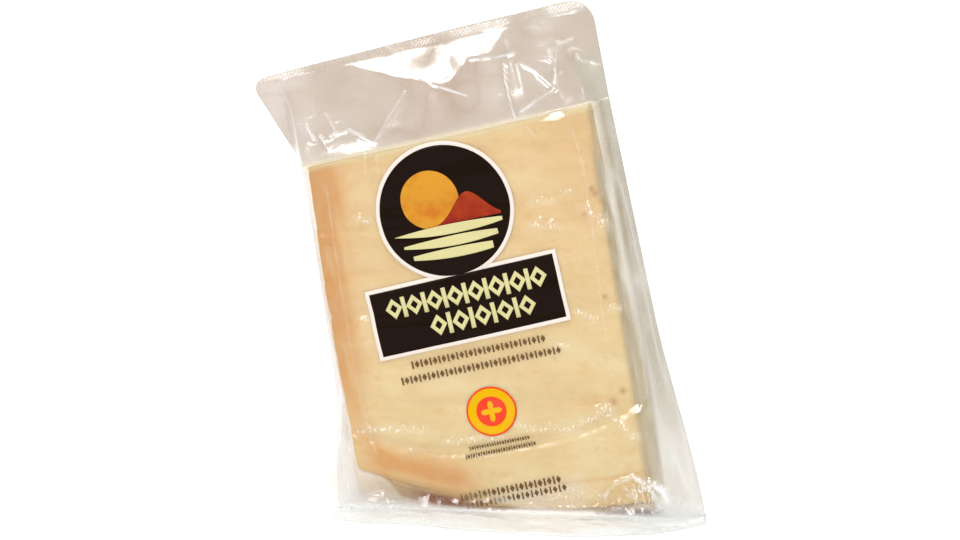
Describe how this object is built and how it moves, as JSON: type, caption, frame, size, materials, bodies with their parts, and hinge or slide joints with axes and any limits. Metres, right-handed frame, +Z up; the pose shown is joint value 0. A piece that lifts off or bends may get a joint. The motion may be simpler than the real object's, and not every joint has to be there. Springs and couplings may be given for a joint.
{
  "type": "vacuum-packed hard cheese chunk",
  "caption": "Chunk of hard grating cheese sealed in a clear vacuum pouch, standing upright on its slanted bottom edge with the pouch's lower flap lying forward.",
  "frame": {"origin": "centre of the bounding box on the surface that the pack stands on", "axes": "+Z up, front face with the print towards -Y, +X to the right seen from the front"},
  "size_m": [0.2066, 0.087, 0.2261],
  "materials": {
    "film": "clear multilayer vacuum pouch film, glossy, slightly hazy and crumpled",
    "cheese": "pale straw-yellow crumbly hard cheese, oily and satin under the film, orange towards the rind",
    "dark_ink": "brown-black flexographic ink",
    "white_ink": "white backing ink",
    "cream_ink": "cream ink",
    "amber_ink": "amber ink",
    "rust_ink": "rust-red ink",
    "yellow_ink": "warm yellow ink",
    "red_ink": "bright red ink",
    "brown_ink": "thin brown ink"
  },
  "bodies": {
    "root": {"sealed_pack": "film"}
  },
  "joints": []
}
